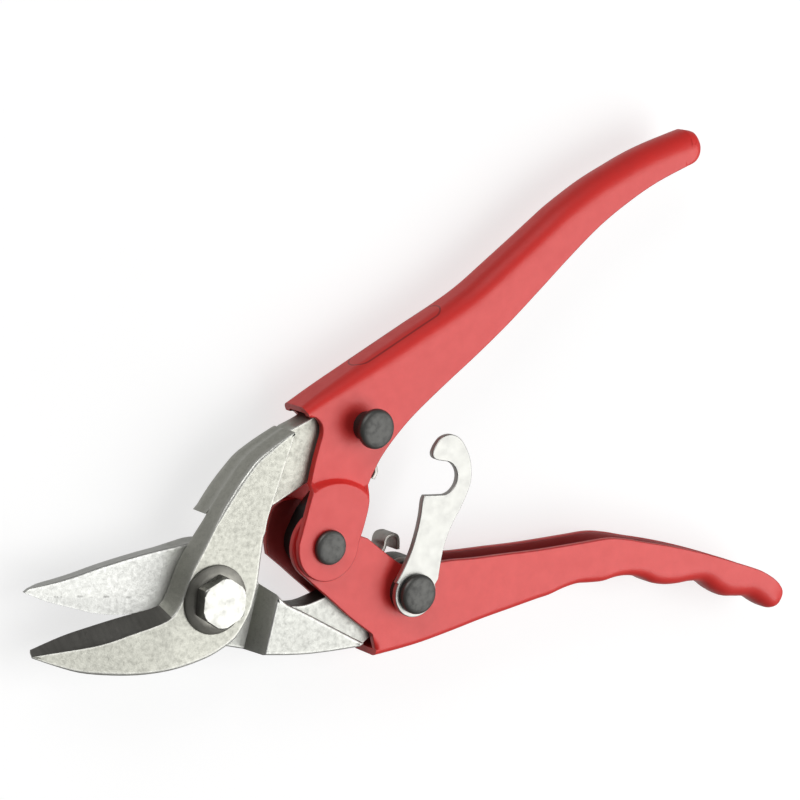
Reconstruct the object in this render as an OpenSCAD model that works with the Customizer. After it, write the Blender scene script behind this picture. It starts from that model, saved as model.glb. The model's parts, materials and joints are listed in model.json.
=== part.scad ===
// Compound-action aviation snips, lying flat: +Z up, jaws towards -X, handles towards +X.
// The origin is on the main pivot axis, on the outer face of the pivot nut.

/* [Pivot layout] */
// Handle pivot (centre rivet), X
hp_x = 35; // [34.5:0.5:35.5]
// Handle pivot (centre rivet), Y
hp_y = 14; // [13.5:0.5:14.5]
// Latch catch pin, X
cp_x = 45; // [44.5:0.5:45.5]
// Latch catch pin, Y
cp_y = 48; // [47.5:0.5:48.5]
// Lower link rivet that also carries the latch, X
lr_x = 65; // [64.5:0.5:65.5]
// Lower link rivet that also carries the latch, Y
lr_y = 0; // [-0.5:0.5:0.5]

/* [Blades] */
// Thickness of each blade at the main pivot
blade_t = 7; // [6.8:0.1:7]
// Half thickness of the tongues inside the handles
tongue_h = 3.6; // [3.4:0.1:3.7]
// Gap between the two shearing faces
shear_gap = 0.12; // [0.08:0.02:0.2]
// Jaw taper angle towards the tip, in degrees
jaw_taper = 4; // [3:0.5:4.5]

/* [Main pivot bolt] */
// Nominal bolt diameter
bolt_d = 8; // [8]
// Width across the flats of the bolt head and nut
hex_af = 13; // [13]
// Height of the bolt head
head_h = 4; // [3.8:0.1:5.3]
// Height of the locknut
nut_h = 4.4; // [4.2:0.1:4.4]
// Outer diameter of the conical spring washer
cone_d = 19.5; // [18:0.5:20]

/* [Handles] */
// Overall width of each folded channel
chan_w = 12.6; // [12.6:0.1:12.8]
// Sheet thickness of both handles
sheet_t = 2; // [1.8:0.1:2]
// Radius of the lug that turns on the centre rivet
lug_r = 10; // [9.5:0.5:10]
// Radius of the lower handle's rounded front end
nose_r = 10.6; // [10.4:0.1:10.8]
// Clearance between the lug and the lower handle
lug_gap = 0.3; // [0.3:0.05:0.4]

/* [Latch] */
// Thickness of the latch plate
latch_t = 1.8; // [1.6:0.1:1.8]
// Height of the latch plate above the handle
latch_lift = 2.4; // [2.4:0.1:2.6]
// Radius of the latch's round base
latch_base_r = 7; // [6.9:0.1:7.5]
// Radius of the latch notch
notch_r = 4.9; // [4.8:0.1:5]
// Radius of the catch collar
collar_r = 4.2; // [4:0.1:4.2]

/* [Return spring] */
// Strip thickness of the spring
strip_t = 1.2; // [1:0.1:1.2]
// Strip width of the spring
strip_w = 6.4; // [5.6:0.2:6.6]

/* [Hidden] */
// Height of the tool's middle plane over the rest plane
zc = blade_t + 1.6 + nut_h;
half_w = chan_w / 2;
inner_w = half_w - sheet_t;
lug_in = half_w + lug_gap;
lug_out = lug_in + sheet_t;
latch_z = half_w + latch_lift;
bolt_r = bolt_d / 2;
pin_r = 4;
catch_r = 3;
fit = 0.05;
HP = [hp_x, hp_y];
CP = [cp_x, cp_y];
LR = [lr_x, lr_y];
steel = [0.80, 0.81, 0.79];
dark_steel = [0.27, 0.27, 0.26];
bright = [0.90, 0.90, 0.89];
red = [0.86, 0.20, 0.18];

// ---- curve helpers ----------------------------------------------------

// One point of a Catmull-Rom span
function crp(a, b, c, d, t) =
    0.5 * (2 * b + (c - a) * t + (2 * a - 5 * b + 4 * c - d) * t * t
    + (3 * b - a - 3 * c + d) * t * t * t);

// Smooth open curve through the points of P, without its last point
function span(P, n = 3) = [for (i = [0:len(P) - 2]) for (k = [0:n - 1])
    crp(P[max(i - 1, 0)], P[i], P[i + 1], P[min(i + 2, len(P) - 1)], k / n)];

// Smooth open curve with its last point
function curve(P, n = 3) = concat(span(P, n), [P[len(P) - 1]]);

// Arc about c from angle a to angle b, in degrees
function arc(c, r, a, b, n = 16) =
    [for (k = [0:n]) c + r * [cos(a + (b - a) * k / n), sin(a + (b - a) * k / n)]];

// Unit normal to the left of the path P at point i
function lnorm(P, i) = let (d = P[min(i + 1, len(P) - 1)] - P[max(i - 1, 0)])
    [-d[1], d[0]] / norm(d);

// Path P moved to its left by t
function shift(P, t) = [for (i = [0:len(P) - 1]) P[i] + t * lnorm(P, i)];

// Points of P in reverse order
function rev(P) = [for (i = [len(P) - 1:-1:0]) P[i]];

// Point-by-point blend of outlines A and B
function mix(A, B, t) = [for (i = [0:len(A) - 1]) A[i] + (B[i] - A[i]) * t];

// Flat plate with outline P between two heights
module slab(P, z0, z1) {
    translate([0, 0, z0]) linear_extrude(z1 - z0) polygon(P);
}

// Stack of n plates that steps from outline B at height z0 to outline T at height z1
module terrace(B, T, z0, z1, n = 4) {
    for (k = [0:n - 1])
        slab(mix(B, T, (k + 0.5) / n), z0 + (z1 - z0) * k / n, z0 + (z1 - z0) * (k + 1) / n);
}

// Flat ring
module ring(c, ro, ri, z0, z1) {
    translate([c[0], c[1], z0]) difference() {
        cylinder(r = ro, h = z1 - z0, $fn = 64);
        translate([0, 0, -1]) cylinder(r = ri, h = z1 - z0 + 2, $fn = 64);
    }
}

// Upright bore cutter
module bore(c, r, z0, z1) {
    translate([c[0], c[1], z0]) cylinder(r = r, h = z1 - z0, $fn = 64);
}

// Rounded rivet head of radius r and height h, standing on z = 0
module dome_head(r, h) {
    rotate_extrude($fn = 64) polygon([[0, 0], [r, 0], [r, h * 0.45],
        [r * 0.96, h * 0.68], [r * 0.88, h * 0.84], [r * 0.76, h * 0.95], [r * 0.6, h], [0, h]]);
}

// ---- outlines of the blades -------------------------------------------

// Back edge and pivot side of the near blade, tip to horn
LB_BACK = [[-48.5, -16.2], [-39, -19.1], [-29, -20.3], [-19.5, -20.4], [-10, -19.2],
           [-1, -16.7], [4.5, -14], [8, -11.5], [10.3, -8.2], [12.3, -4],
           [13.2, 0], [13.8, 4], [14.1, 10], [14.5, 17], [15, 22], [16.2, 26.5],
           [18.5, 35], [20.3, 41.5], [21.4, 45.4]];
// Left edge of the arm, horn to the step
LB_ARM = [[21.3, 46.4], [20, 45.7], [15, 42.4], [10, 38.5], [7, 34.8], [4, 30.5], [0, 24]];
// From the step to the throat and along the cutting side: outer face
LB_T = [[-1.5, 20.8], [-4.9, 13.6], [-7.6, 8.2], [-9.1, 3.8], [-10.2, 0.4],
        [-12.4, -3.8], [-15.8, -6.1], [-23.7, -9], [-33.2, -12.4], [-43, -14], [-54.4, -14.6]];
// The same on the shearing face
LB_B = [[-1.8, 20.8], [-6.2, 13.8], [-9, 8.2], [-10.4, 4], [-11.5, 0.8],
        [-13, -2], [-16, -3.5], [-24.5, -5.2], [-34.5, -7.6], [-43, -9.9], [-52, -13.2]];
// Tongue of the near blade, from the arm to the eye and back
LB_TNG = [[16, 24], [18.7, 25.3], [23.6, 28.2], [28, 30.8], [34, 34.2], [39, 37.6]];
LB_TNG2 = [[38.5, 55], [33, 52.8], [27.4, 49.2], [22.4, 46.8]];

// Cutting side of the far blade, tip to throat: shearing face
UB_B = [[-54.9, 2.4], [-49.7, 0.4], [-45.7, -0.9], [-39, -2.6], [-33, -4.1],
        [-25.2, -4.8], [-16, -4.4], [-12.4, -5.2]];
// The same on the outer face
UB_T = [[-55.6, 3.6], [-49, 3], [-45, 2.3], [-38.5, 1.2], [-32.5, 0],
        [-25, -1], [-16, -1.6], [-11.6, -4.6]];
// Pivot side and lower edge of the arm
UB_LOW = [[-8.8, -9.2], [-3.5, -12.6], [3, -14.6], [9.4, -15.3], [14.4, -16.2],
          [18, -16.7], [24, -17], [32.5, -17.3], [41, -17.1], [46.5, -16.8], [51.5, -16.5]];
// Upper edge of the arm from the handle back to the pivot
UB_TOP = [[53.2, -15.6], [46, -12.3], [38, -8.6], [30, -4.9], [24, -2.3], [20.8, 0.2], [18.6, 2.3]];
// Over the pivot and along the back of the jaw
UB_BACK = [[15.5, 7], [11, 11.5], [5, 14.4], [-2, 14.9], [-10, 13.6], [-19.4, 11.8],
           [-31, 9], [-40, 6.4], [-46.1, 4.9], [-53.6, 3.4]];
// Tongue of the far blade, from the eye back to the arm
UB_TNG = [[54.2, 5.5], [46, 1.6], [38, -1.7], [32, -3.6], [26, -3.6]];
UB_TNG2 = [[52.6, -16.2], [56.5, -13], [60.6, -9]];

// ---- outlines of the handles ------------------------------------------

// Spine of the upper handle, front to tail
UH_SPINE = [[24.6, 52.9], [32, 57.8], [40, 62.8], [50, 69], [61.5, 76.1], [73, 83.2],
            [80, 88.2], [87.3, 94.4], [96.6, 102.4], [102.4, 107.5], [108.4, 112.6],
            [118.1, 119.6], [126.2, 124.4], [133.8, 128.5], [140.6, 131.6], [148.3, 134.6], [153.8, 136.5]];
UH_TAIL = [[153.8, 136.5], [157.4, 135.9], [159.6, 133], [159.2, 129.8], [156.6, 127.3], [152.3, 125.8]];
// Open edge of the upper handle, tail to the catch pin
UH_EDGE = [[152.3, 125.8], [141.6, 120.6], [131.8, 114.5], [121.8, 107], [111.9, 97.7],
           [101.9, 87.6], [91.9, 77.7], [81.7, 68.5], [71.2, 59.6], [62, 51.4], [56.6, 45.6],
           [52.2, 39.8], [49.6, 35], [48.2, 31.6]];
// Front edge of the upper handle, from the lug up to the spine
UH_FRONT = [[28, 29], [28.5, 32.5], [29.3, 38], [30.2, 42.4], [30.9, 46], [30.2, 48.6], [28, 50.4]];

// Spine of the lower handle, tail to front, with the finger grooves
LH_SPINE = [[56.4, -19.2], [65, -17.7], [73.4, -15.9], [84, -13], [94.3, -10], [104, -7.5],
            [113.2, -5.1], [118.2, -3.9], [123.2, -2.1], [128.3, -0.9], [133.3, -0.8],
            [138.3, -0.6], [143.4, 0.5], [148.4, 0.8], [153.4, 0], [158.4, -1.9],
            [163.5, -2.7], [168.5, -2.7], [173.5, -2.2], [178.6, -2.5], [183.6, -5.3],
            [188.6, -7.4], [193.6, -7.8], [198.7, -8.2], [203.7, -10.4]];
LH_TAIL = [[203.7, -10.4], [207.8, -11.9], [211.5, -11.3], [213.2, -8.6], [212.5, -6], [209.2, -3.5]];
// Open edge of the lower handle, tail to nose
LH_EDGE = [[209.2, -3.5], [206, -1.4], [201, 0.9], [196, 2.4], [191, 3.7], [181, 6.2],
           [171, 8.4], [161, 10.2], [152, 11.5], [145, 12.6], [138, 13.1], [130, 12.3],
           [120, 11.2], [110, 10.2], [100, 9.5], [88, 8.6], [80, 8.3], [73, 7.6],
           [68, 6.8], [63, 7.4], [59, 9.4], [53, 13.3], [49, 16]];
// Front edge of the lower handle, nose to spine
LH_FRONT = [[29, 5.4], [33.4, 2.1], [38, -1.2], [46.3, -7.4], [54.2, -12.5]];
// Wider nose of its far side plate, from the front edge round to the top
LH_NOSE = [[23.3, 9.4], [22.3, 13.5], [22.4, 18], [23.2, 21.8], [25, 23.9], [27.6, 25], [31, 25.5]];

// ---- blades -----------------------------------------------------------

module lower_blade() color(steel) translate([0, 0, zc]) {
    arm = concat(span(LB_BACK), span(LB_ARM));
    difference() {
        union() {
            // near half: jaw, pivot eye and arm
            difference() {
                terrace(concat([[-52, -14]], arm, curve(LB_B)),
                        concat([[-54.2, -14.9]], arm, curve(LB_T)), shear_gap / 2, blade_t);
                // outer face falls towards the tip
                translate([-12, 0, blade_t]) rotate([0, -jaw_taper, 0])
                    translate([-60, -40, 0]) cube([60, 80, 10]);
            }
            // far half of the arm, behind the step
            difference() {
                slab(concat([[15.2, 20.4]], span([[15, 22], [16.2, 26.5], [18.5, 35], [20.3, 41.5], [21.4, 45.4]]),
                    curve(LB_ARM), [[-1.2, 22.6]]), -blade_t, 1);
                translate([5, 26, -blade_t]) rotate([0, 0, 48]) rotate([0, -6, 0])
                    translate([0, -30, -10]) cube([50, 60, 10]);
            }
            // tongue with the eye for the catch pin
            slab(concat([[10, 32]], span(LB_TNG), arc(CP, 9, -140, 130, 30), curve(LB_TNG2), [[16, 42]]),
                -tongue_h, tongue_h);
        }
        bore([0, 0], bolt_r + fit, -1, blade_t + 1);
        // open pivot of the linkage: larger than the pin so that nothing binds
        bore(CP, catch_r + 0.5, -blade_t, blade_t);
    }
}

module upper_blade() color(steel) translate([0, 0, zc]) {
    arm = concat(span(UB_LOW), span(UB_TOP), curve(UB_BACK));
    difference() {
        union() {
            // far half: jaw, pivot eye and arm
            difference() {
                terrace(concat(curve(UB_T), arm), concat(curve(UB_B), arm), -blade_t, -shear_gap / 2);
                translate([-3, 0, -blade_t]) rotate([0, 12, 0]) translate([-12.2, -40, -10]) cube([12.2, 80, 10]);
                translate([-14.9, 0, -blade_t + 2.5]) rotate([0, 1, 0]) translate([-60, -40, -10]) cube([60, 80, 10]);
                // thin tip
                translate([-49.5, 0, -blade_t + 3.1]) rotate([0, 28, 0]) translate([-12, -40, -10]) cube([12, 80, 10]);
            }
            // near half of the arm, behind the sloping shoulder
            difference() {
                slab(concat([[15.2, -16.3]], [[18, -16.7]], curve([[24, -17], [32.5, -17.3], [41, -17.1], [46.5, -16.8], [51.5, -16.5]]),
                    curve([[53.2, -15.6], [46, -12.3], [38, -8.6], [30, -4.9], [24, -2.3], [20.8, 0.2], [18.6, 2.3]])), -1, blade_t);
                // sloping shoulder
                translate([18.6, 2.3, 0]) rotate([0, 0, -9.8]) rotate([0, 17, 0])
                    translate([-20, -40, -20]) cube([20, 80, 40]);
                translate([26, -10, blade_t]) rotate([0, 5.4, 0]) translate([0, -20, 0]) cube([50, 60, 10]);
            }
            // tongue with the eye for the link rivet
            slab(concat([[40, -12]], span(UB_TNG2), arc(LR, 9.4, -110, 140, 30), curve(UB_TNG), [[27, -6]]),
                -tongue_h, tongue_h);
        }
        translate([26, -10, -blade_t]) rotate([0, -5.4, 0]) translate([0, -20, -10]) cube([30, 22, 10]);
        bore([0, 0], bolt_r + fit, -blade_t - 1, 1);
        bore(LR, pin_r + fit, -blade_t, blade_t);
    }
}

// ---- main pivot -------------------------------------------------------

module pivot_bolt() color(bright) translate([0, 0, zc]) {
    z_head = blade_t + 0.1 + 1.5;
    translate([0, 0, -blade_t - 1.6 - nut_h]) cylinder(r = bolt_r, h = z_head + blade_t + 1.6 + nut_h + 0.2, $fn = 64);
    translate([0, 0, z_head]) intersection() {
        rotate([0, 0, 30]) cylinder(d = hex_af / cos(30), h = head_h, $fn = 6);
        rotate_extrude($fn = 64) polygon([[0, 0], [7.2, 0], [7.51, 0.3], [7.51, head_h - 0.4], [7, head_h], [0, head_h]]);
    }
}

module pivot_cone_washer() color(dark_steel) translate([0, 0, zc + blade_t + 0.1]) {
    rotate_extrude($fn = 64) polygon([[bolt_r + fit, 0.6], [6.9, 0.4], [cone_d / 2 - 0.1, 0],
        [cone_d / 2, 0.5], [6.9, 1.5], [bolt_r + fit, 1.5]]);
}

module pivot_washer() color(dark_steel)
    ring([0, 0], 8, bolt_r + fit, zc - blade_t - 1.6, zc - blade_t);

module pivot_nut() color(bright) translate([0, 0, 0]) difference() {
    intersection() {
        rotate([0, 0, 30]) cylinder(d = hex_af / cos(30), h = nut_h, $fn = 6);
        rotate_extrude($fn = 64) polygon([[0, 0], [6.5, 0], [7.51, 0.6], [7.51, nut_h - 0.3], [7.2, nut_h], [0, nut_h]]);
    }
    translate([0, 0, -1]) cylinder(r = bolt_r, h = nut_h + 2, $fn = 64);
}

// ---- handles ----------------------------------------------------------

// Outline of the upper handle's side plate
function uh_plate() = concat(rev(curve(UH_SPINE)), [[26, 51.2]], rev(curve(UH_FRONT)),
    arc(HP, 19.4, 112, 58, 8), rev(curve(UH_EDGE)), rev(curve(UH_TAIL)));

// Outline of the joggled lug
function uh_lug() = concat(arc(HP, 19.6, 113, 54, 10),
    rev(curve([[45.2, 14], [46.2, 19], [47.2, 24], [46.8, 28.6]])),
    arc(HP, lug_r, 0, -180, 24), curve([[25, 14], [25.8, 19], [26.9, 24.5], [27.3, 29.5]]));

// Outline of the lower handle's side plate
function lh_plate() = concat(rev(curve(LH_SPINE)), rev(curve(LH_FRONT)),
    arc(HP, nose_r, 235, 16, 24), rev(curve(LH_EDGE)), rev(curve(LH_TAIL)));

// Outline of its far side plate
function lh_far_plate() = concat(rev(curve(LH_SPINE)), rev(curve(LH_FRONT)),
    curve(LH_NOSE), arc(HP, nose_r, 95, 16, 12), rev(curve(LH_EDGE)), rev(curve(LH_TAIL)));

module upper_handle() color(red) translate([0, 0, zc]) {
    spine = curve(UH_SPINE);
    back = concat(spine, [for (i = [1:len(curve(UH_TAIL)) - 1]) curve(UH_TAIL)[i]]);
    difference() {
        union() {
            for (s = [-1, 1]) {
                z0 = s > 0 ? inner_w : -half_w;
                slab(uh_plate(), z0, z0 + sheet_t);
                l0 = s > 0 ? lug_in : -lug_out;
                slab(uh_lug(), l0, l0 + sheet_t);
                // joggle between the plate and the raised lug
                slab(concat(arc(HP, 20.3, 111, 57, 10), arc(HP, 18.2, 56, 113, 10)),
                    s > 0 ? inner_w : -lug_in - 0.6, s > 0 ? lug_in + 0.6 : -inner_w);
            }
            // folded spine, closed round the tail
            slab(concat(back, rev(shift(back, -sheet_t))), -half_w + 0.01, half_w - 0.01);
        }
        // the inner side of the joggle stays open for the lower handle
        bore(HP, 18.1, -lug_in, lug_in);
        bore(HP, pin_r + fit, -20, 20);
        bore(CP, catch_r, -20, 20);
    }
}

module lower_handle() color(red) translate([0, 0, zc]) {
    spine = curve(LH_SPINE);
    back = concat(spine, [for (i = [1:len(curve(LH_TAIL)) - 1]) curve(LH_TAIL)[i]]);
    difference() {
        union() {
            slab(lh_plate(), inner_w, half_w);
            slab(lh_far_plate(), -half_w, -inner_w);
            slab(concat(back, rev(shift(back, sheet_t))), -half_w + 0.01, half_w - 0.01);
        }
        bore(HP, pin_r, -20, 20);
        bore(LR, pin_r, -20, 20);
    }
}

// ---- rivets, collars and shims ----------------------------------------

module centre_rivet() color(dark_steel) translate([hp_x, hp_y, zc]) {
    translate([0, 0, -lug_out - 0.2]) cylinder(r = pin_r, h = 2 * lug_out + 0.4, $fn = 64);
    translate([0, 0, lug_out + 0.1]) dome_head(4.9, 2);
    mirror([0, 0, 1]) translate([0, 0, lug_out + 0.1]) dome_head(4.9, 2);
}

module centre_bush() color(dark_steel) ring(HP, 5.8, pin_r, zc - inner_w, zc + inner_w);

module catch_rivet() color(dark_steel) translate([cp_x, cp_y, zc]) {
    translate([0, 0, -half_w - 0.1]) cylinder(r = catch_r, h = 2 * half_w + latch_lift + latch_t + 0.5, $fn = 64);
    translate([0, 0, latch_z + latch_t + 0.3]) dome_head(5.7, 2.6);
    mirror([0, 0, 1]) translate([0, 0, half_w]) dome_head(5.2, 2);
}

module catch_collar() color(dark_steel)
    ring(CP, collar_r, catch_r, zc + half_w, zc + latch_z + latch_t + 0.3);

module catch_shims() color(dark_steel) for (s = [-1, 1])
    ring(CP, 7.8, catch_r, s > 0 ? zc + inner_w - 0.5 : zc - inner_w, s > 0 ? zc + inner_w : zc - inner_w + 0.5);

module link_rivet() color(dark_steel) translate([lr_x, lr_y, zc]) {
    translate([0, 0, -half_w - 0.1]) cylinder(r = pin_r, h = 2 * half_w + latch_lift + latch_t + 0.4, $fn = 64);
    translate([0, 0, latch_z + latch_t + 0.2]) dome_head(5.8, 2.6);
    mirror([0, 0, 1]) translate([0, 0, half_w]) dome_head(5.8, 2);
}

module link_shims() color(dark_steel) for (s = [-1, 1])
    ring(LR, 8, pin_r, s > 0 ? zc + inner_w - 0.5 : zc - inner_w, s > 0 ? zc + inner_w : zc - inner_w + 0.5);

module latch_spacer() color(dark_steel) ring(LR, 6.2, pin_r, zc + half_w, zc + latch_z - 0.4);

module latch_washer() color(bright) ring(LR, 6.6, pin_r, zc + latch_z - 0.4, zc + latch_z - 0.1);

// ---- latch ------------------------------------------------------------

// Left side of the latch from the round base up to the notch
LA_LEFT = [[58, 3.2], [60.4, 8], [62.2, 12.6], [63.4, 17.6], [64.1, 22.5], [64.3, 27], [64.9, 28.5]];
// Hook beyond the notch, from its mouth over the top and down the right side
LA_HOOK = [[68.6, 38.6], [66.9, 39.2], [66.2, 40.8], [67.3, 43.4], [69.3, 45.4], [72.6, 46],
           [76, 44.4], [79.2, 40], [80.6, 35.5], [80.5, 31], [78.2, 25], [75.2, 19], [73.2, 12], [72.5, 4]];

module latch() color(bright) translate([0, 0, zc]) difference() {
    slab(concat(curve(LA_LEFT), [[68, 28.5]], arc([70.8, 33.4], notch_r, -82, 82, 16), curve(LA_HOOK),
        arc(LR, latch_base_r, 20, -205, 30)), latch_z, latch_z + latch_t);
    bore(LR, pin_r + fit, 0, 20);
}

// ---- return spring ----------------------------------------------------

// Strip path: upper hook and arm, bend round the bush, lower arm and hook
SP_UP = [[51.6, 32.2], [52.4, 34.2], [51.2, 36.4], [48, 36.9], [42.5, 34.4], [36, 28.8], [30.2, 21.6]];
SP_LOW = [[38.6, 6.9], [46, 7.2], [53, 8.6], [56.6, 10.2], [57.8, 12.2], [58.1, 14.2], [59, 15.3], [61.2, 15.5], [62.2, 14.4], [62.6, 11.4]];
SP_BEND = [for (k = [0:10]) let (a = 158 + k * 11.2, r = 7.2 - k * 0.04)
    HP + r * [cos(a), sin(a)]];

module return_spring() color(dark_steel) translate([0, 0, zc]) {
    path = concat(span(SP_UP, 4), SP_BEND, curve(SP_LOW, 4));
    slab(concat(shift(path, strip_t / 2), rev(shift(path, -strip_t / 2))), -strip_w / 2, strip_w / 2);
}

lower_blade();
upper_blade();
pivot_bolt();
pivot_cone_washer();
pivot_washer();
pivot_nut();
upper_handle();
lower_handle();
centre_rivet();
centre_bush();
return_spring();
catch_rivet();
catch_collar();
catch_shims();
link_rivet();
link_shims();
latch_spacer();
latch_washer();
latch();
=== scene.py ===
import bpy, json, math
import numpy as np
from mathutils import Vector, Matrix
from mathutils.geometry import delaunay_2d_cdt


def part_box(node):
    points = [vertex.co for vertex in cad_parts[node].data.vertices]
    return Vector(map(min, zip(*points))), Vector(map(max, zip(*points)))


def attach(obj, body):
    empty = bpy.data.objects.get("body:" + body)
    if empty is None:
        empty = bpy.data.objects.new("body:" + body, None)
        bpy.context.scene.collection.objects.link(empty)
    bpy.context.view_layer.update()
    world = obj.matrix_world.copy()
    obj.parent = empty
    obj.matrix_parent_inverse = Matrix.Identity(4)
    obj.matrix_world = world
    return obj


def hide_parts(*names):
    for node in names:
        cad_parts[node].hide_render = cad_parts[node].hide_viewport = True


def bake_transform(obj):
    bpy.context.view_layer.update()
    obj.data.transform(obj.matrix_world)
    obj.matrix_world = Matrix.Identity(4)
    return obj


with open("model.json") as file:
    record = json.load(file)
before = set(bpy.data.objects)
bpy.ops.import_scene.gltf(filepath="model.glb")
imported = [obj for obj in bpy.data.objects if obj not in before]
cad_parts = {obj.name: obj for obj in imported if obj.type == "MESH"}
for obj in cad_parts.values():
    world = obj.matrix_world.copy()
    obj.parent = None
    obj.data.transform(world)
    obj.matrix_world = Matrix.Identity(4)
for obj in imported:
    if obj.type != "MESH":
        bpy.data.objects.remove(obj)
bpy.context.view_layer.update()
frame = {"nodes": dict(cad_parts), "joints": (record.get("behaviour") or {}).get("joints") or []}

J = {j["name"]: j for j in frame["joints"]}
ZC = J["main_pivot"]["pos_m"][2] * 1000.0          # middle plane of the tool, mm
HP = np.array(J["handle_pivot"]["pos_m"][:2]) * 1000.0
LR = np.array(J["link_pivot"]["pos_m"][:2]) * 1000.0
lo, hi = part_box("catch_rivet")
CP = np.array([(lo.x + hi.x) / 2, (lo.y + hi.y) / 2]) * 1000.0


def zmm(node, which):
    """Lowest (0) or highest (1) level of a CAD node, in mm from the middle plane."""
    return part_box(node)[which].z * 1000.0 - ZC


# ------------------------------------------------------------------ curves

def cr(P, n=6):
    P = np.asarray(P, float)
    out = []
    for i in range(len(P) - 1):
        a, b, c, d = P[max(i - 1, 0)], P[i], P[i + 1], P[min(i + 2, len(P) - 1)]
        for k in range(n):
            t = k / n
            out.append(0.5 * (2 * b + (c - a) * t + (2 * a - 5 * b + 4 * c - d) * t * t
                              + (3 * b - a - 3 * c + d) * t ** 3))
    out.append(P[-1])
    return np.array(out)


def arc(c, r, a, b, n=24):
    t = np.radians(np.linspace(a, b, n + 1))
    return np.c_[c[0] + r * np.cos(t), c[1] + r * np.sin(t)]


def area(P):
    x, y = P[:, 0], P[:, 1]
    return 0.5 * np.sum(x * np.roll(y, -1) - y * np.roll(x, -1))


def inward(P):
    """Mitred inward normals of an anticlockwise closed outline."""
    d = np.roll(P, -1, 0) - P
    d /= np.maximum(np.linalg.norm(d, axis=1), 1e-9)[:, None]
    n = np.c_[-d[:, 1], d[:, 0]]
    m = n + np.roll(n, 1, 0)
    m /= np.maximum(np.linalg.norm(m, axis=1), 1e-9)[:, None]
    c = np.maximum((m * n).sum(1), 0.6)
    return m / c[:, None]


def smoothstep(t):
    t = np.clip(t, 0, 1)
    return t * t * (3 - 2 * t)


def inside(P, Q):
    """Which points Q lie in the closed outline P."""
    x, y = Q[:, 0][:, None], Q[:, 1][:, None]
    x0, y0 = P[:, 0][None], P[:, 1][None]
    x1, y1 = np.roll(P[:, 0], -1)[None], np.roll(P[:, 1], -1)[None]
    up = (y0 > y) != (y1 > y)
    dy = np.where(np.abs(y1 - y0) < 1e-12, 1e-12, y1 - y0)
    xc = x0 + (y - y0) * (x1 - x0) / dy
    return (np.sum(up & (x < xc), axis=1) % 2) == 1


def dist(P, Q):
    """Distance of the points Q from the closed outline P."""
    A, B = P[None], np.roll(P, -1, 0)[None]
    d = B - A
    L = np.maximum((d ** 2).sum(2), 1e-12)
    t = np.clip(((Q[:, None] - A) * d).sum(2) / L, 0, 1)
    return np.sqrt((((A + t[..., None] * d) - Q[:, None]) ** 2).sum(2)).min(1)


# ------------------------------------------------------------------ meshes

class Shell:
    """Vertices in mm about the middle plane, faces, and how close each vertex is to an edge."""

    def __init__(self):
        self.v, self.f, self.w = [], [], []

    def add(self, pts, wear_and_shade=0.0):
        s = len(self.v)
        self.v += [tuple(map(float, p)) for p in pts]
        wear_and_shade = np.broadcast_to(wear_and_shade, (len(pts),))
        self.w += [float(x) for x in wear_and_shade]
        return list(range(s, s + len(pts)))

    def strip(self, a, b, closed=True):
        n = len(a)
        for i in range(n if closed else n - 1):
            k = (i + 1) % n
            self.f.append((a[i], a[k], b[k], b[i]))

    def make(self, name, angle=38, ground_and_painted_light=None):
        me = bpy.data.meshes.new(name)
        co = np.array(self.v, float)
        co[:, 2] += ZC
        me.from_pydata((co / 1000.0).tolist(), [], self.f)
        at = me.attributes.new("edge_wear_and_shade", "FLOAT", "POINT")
        at.data.foreach_set("value", np.array(self.w, np.float32))
        import bmesh
        bm = bmesh.new()
        bm.from_mesh(me)
        bmesh.ops.remove_doubles(bm, verts=bm.verts, dist=2e-6)
        bmesh.ops.dissolve_degenerate(bm, edges=bm.edges, dist=1e-6)
        bmesh.ops.recalc_face_normals(bm, faces=bm.faces)
        bm.to_mesh(me)
        bm.free()
        me.polygons.foreach_set("use_smooth", [True] * len(me.polygons))
        if ground_and_painted_light is not None:
            g = me.attributes.new("ground_and_painted_light", "FLOAT", "CORNER")
            val = np.zeros(len(me.loops), np.float32)
            for p in me.polygons:
                c = p.center * 1000.0
                if ground_and_painted_light(c.x, c.y, c.z - ZC, p.normal):
                    val[p.loop_start:p.loop_start + p.loop_total] = 1.0
            g.data.foreach_set("value", val)
        me.set_sharp_from_angle(angle=math.radians(angle))
        ob = bpy.data.objects.new(name, me)
        bpy.context.scene.collection.objects.link(ob)
        wn = ob.modifiers.new("wn", "WEIGHTED_NORMAL")
        wn.keep_sharp = True
        wn.weight = 90
        return ob


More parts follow.
